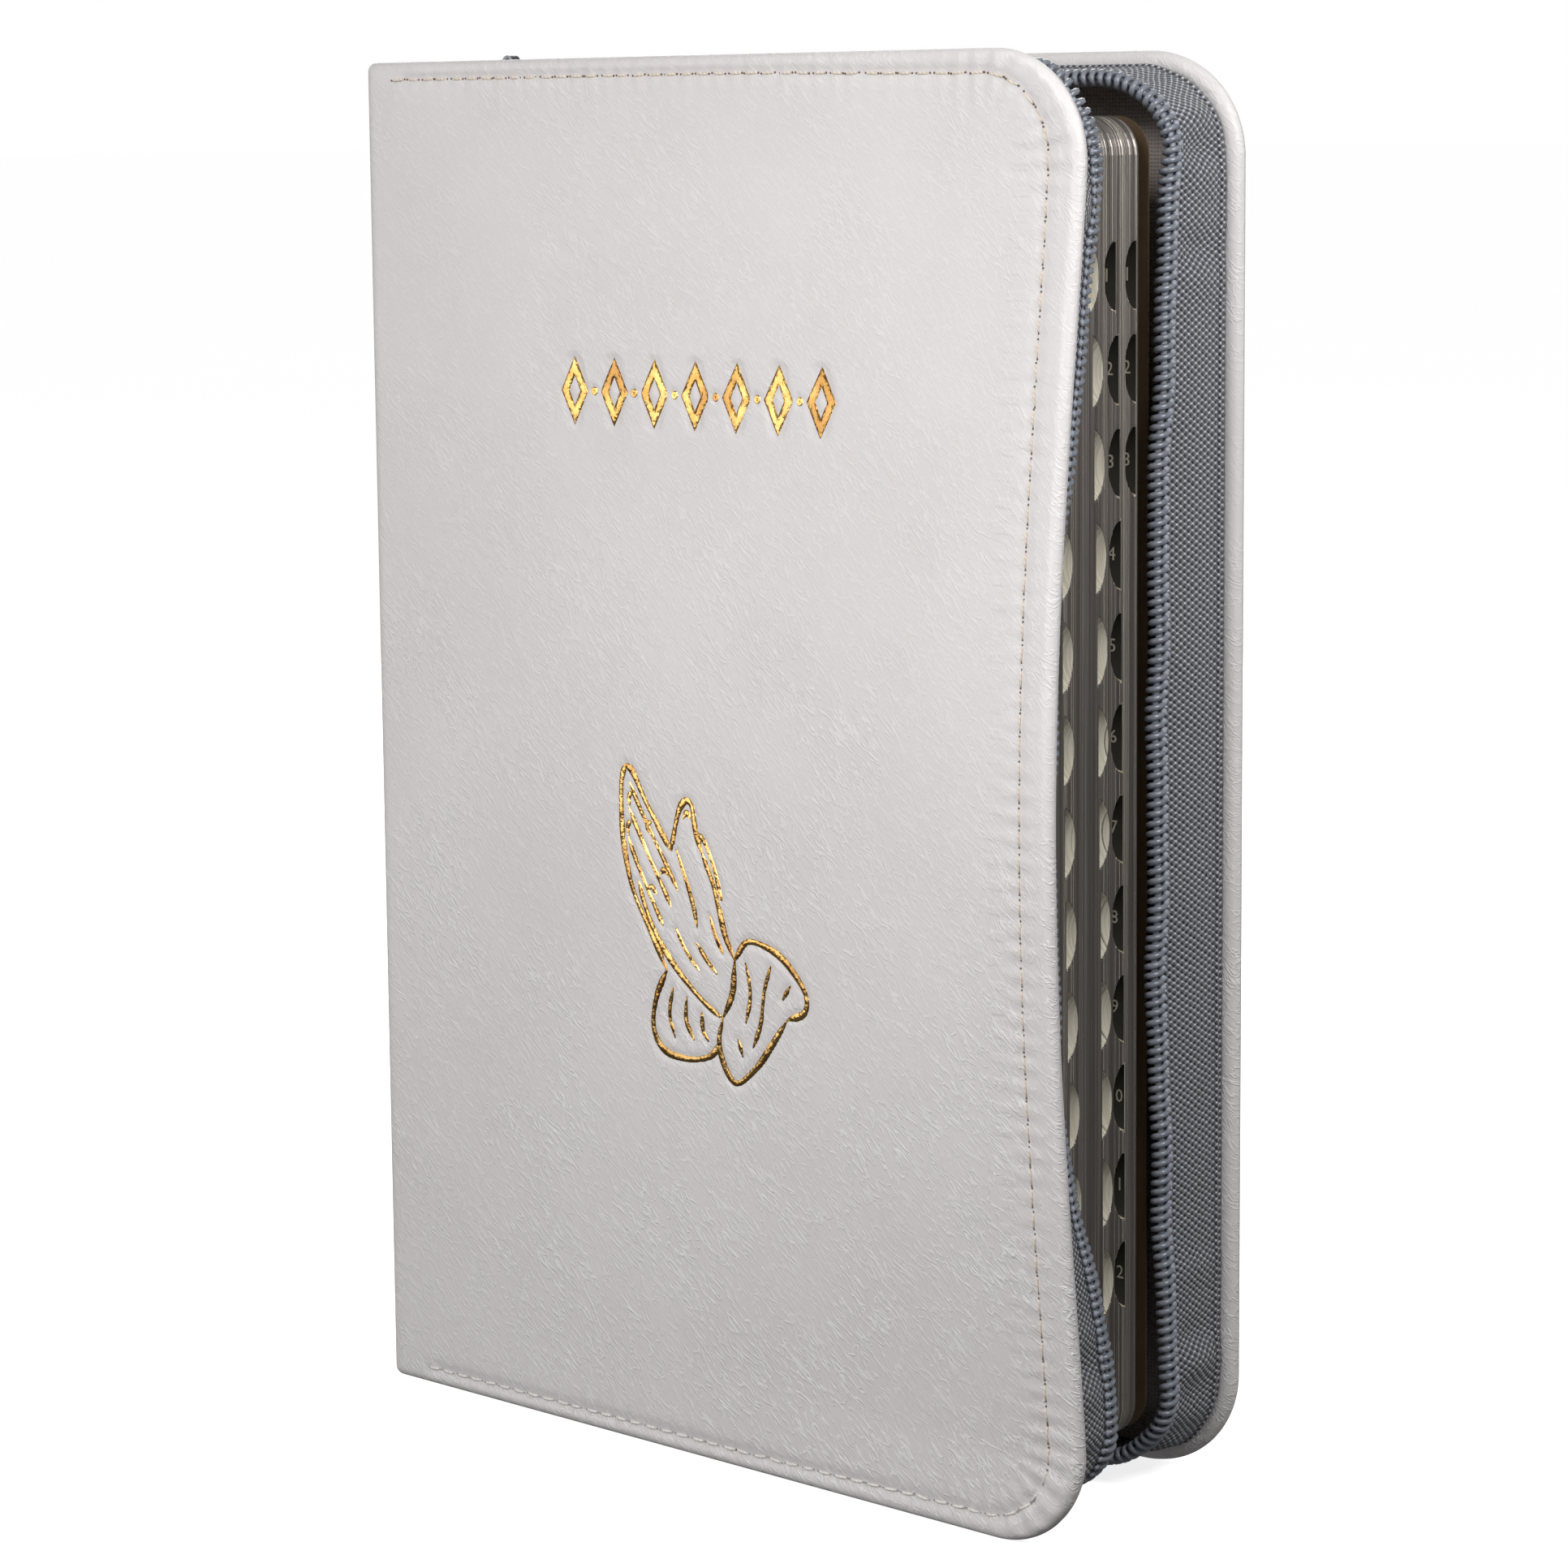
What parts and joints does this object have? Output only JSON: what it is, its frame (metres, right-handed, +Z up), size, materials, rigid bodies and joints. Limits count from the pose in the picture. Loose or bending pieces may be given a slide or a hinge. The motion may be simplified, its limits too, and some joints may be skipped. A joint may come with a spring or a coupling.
{
  "type": "prayer book",
  "caption": "Thick pocket prayer book in a soft padded cover with a zip round three sides, thumb-notched page block and hinged covers, standing open a little.",
  "frame": {"origin": "under the middle of the book's box, on the surface it stands on", "axes": "+Z up the book from tail to head, +X from the spine to the fore edge, +Y from the front cover to the back cover"},
  "size_m": [0.1323, 0.0427, 0.1929],
  "materials": {
    "cover_leather": "satin",
    "cover_board": "matte",
    "lining": "matte",
    "thread": "matte",
    "zip_tape": "matte",
    "zip_coil": "gloss",
    "zip_metal": "gloss",
    "gold_foil": "polished",
    "mull_cloth": "matte",
    "headband_cloth": "satin",
    "page_block": "satin",
    "index_label": "satin",
    "endpaper": "matte"
  },
  "bodies": {
    "spine": {"spine_leather": "cover_leather", "spine_lining": "lining", "spine_mull": "mull_cloth", "headband_top": "headband_cloth", "headband_bottom": "headband_cloth", "page_section_4": "page_block", "index_labels_4": "index_label"},
    "front_cover": {"front_cover_leather": "cover_leather", "front_cover_board": "cover_board", "front_cover_lining": "lining", "front_cover_stitching": "thread", "front_zip_tape": "zip_tape", "front_zip_coil": "zip_coil", "front_zip_stops": "zip_metal", "foil_ornament": "gold_foil", "foil_hands": "gold_foil"},
    "back_cover": {"back_cover_leather": "cover_leather", "back_cover_board": "cover_board", "back_cover_lining": "lining", "back_cover_stitching": "thread", "back_zip_tape": "zip_tape", "back_zip_coil": "zip_coil", "back_zip_stops": "zip_metal"},
    "front_flyleaf": {"front_flyleaf": "endpaper"},
    "pages_1": {"page_section_1": "page_block", "index_labels_1": "index_label"},
    "pages_2": {"page_section_2": "page_block", "index_labels_2": "index_label"},
    "pages_3": {"page_section_3": "page_block", "index_labels_3": "index_label"},
    "rear_flyleaf": {"rear_flyleaf": "endpaper"},
    "slider": {"zip_slider": "zip_metal"},
    "pull": {"pull_tab": "zip_metal"}
  },
  "joints": [
    {"name": "front_cover_hinge", "type": "hinge", "parent": "spine", "child": "front_cover", "pos_m": [-0.05955, -0.0201, 0], "axis": [0, 0, -1], "range_deg": [0, 175]},
    {"name": "front_flyleaf_turn", "type": "hinge", "parent": "spine", "child": "front_flyleaf", "pos_m": [-0.058, -0.0184, 0], "axis": [0, 0, -1], "range_deg": [0, 89.75]},
    {"name": "pages_1_turn", "type": "hinge", "parent": "spine", "child": "pages_1", "pos_m": [-0.05785, -0.018, 0], "axis": [0, 0, -1], "range_deg": [0, 84.5]},
    {"name": "pages_2_turn", "type": "hinge", "parent": "spine", "child": "pages_2", "pos_m": [-0.05785, -0.0102, 0], "axis": [0, 0, -1], "range_deg": [0, 42.5]},
    {"name": "pages_3_turn", "type": "hinge", "parent": "spine", "child": "pages_3", "pos_m": [-0.05785, -0.0041, 0], "axis": [0, 0, -1], "range_deg": [0, 20.62]},
    {"name": "back_cover_hinge", "type": "hinge", "parent": "spine", "child": "back_cover", "pos_m": [-0.06342, 0.00675, 0], "axis": [0, 0, 1], "range_deg": [-6.1, 168]},
    {"name": "rear_flyleaf_turn", "type": "hinge", "parent": "spine", "child": "rear_flyleaf", "pos_m": [-0.05785, 0.0035, 0], "axis": [0, 0, 1], "range_deg": [-1.21, 32.42]},
    {"name": "zip_slider_travel", "type": "slide", "parent": "front_cover", "child": "slider", "axis": [1, 0, 0], "range_m": [0, 0.09]},
    {"name": "pull_tab_swing", "type": "hinge", "parent": "slider", "child": "pull", "pos_m": [-0.04635, -0.00675, 0.1918], "axis": [0, -1, 0], "range_deg": [0, 160]}
  ],
  "couplings": [
    {"joint": "front_flyleaf_turn", "follows": "front_cover_hinge", "ratio": 0.51},
    {"joint": "pages_1_turn", "follows": "front_cover_hinge", "ratio": 0.48},
    {"joint": "pages_2_turn", "follows": "front_cover_hinge", "ratio": 0.24},
    {"joint": "pages_3_turn", "follows": "front_cover_hinge", "ratio": 0.115},
    {"joint": "rear_flyleaf_turn", "follows": "back_cover_hinge", "ratio": 0.19}
  ]
}
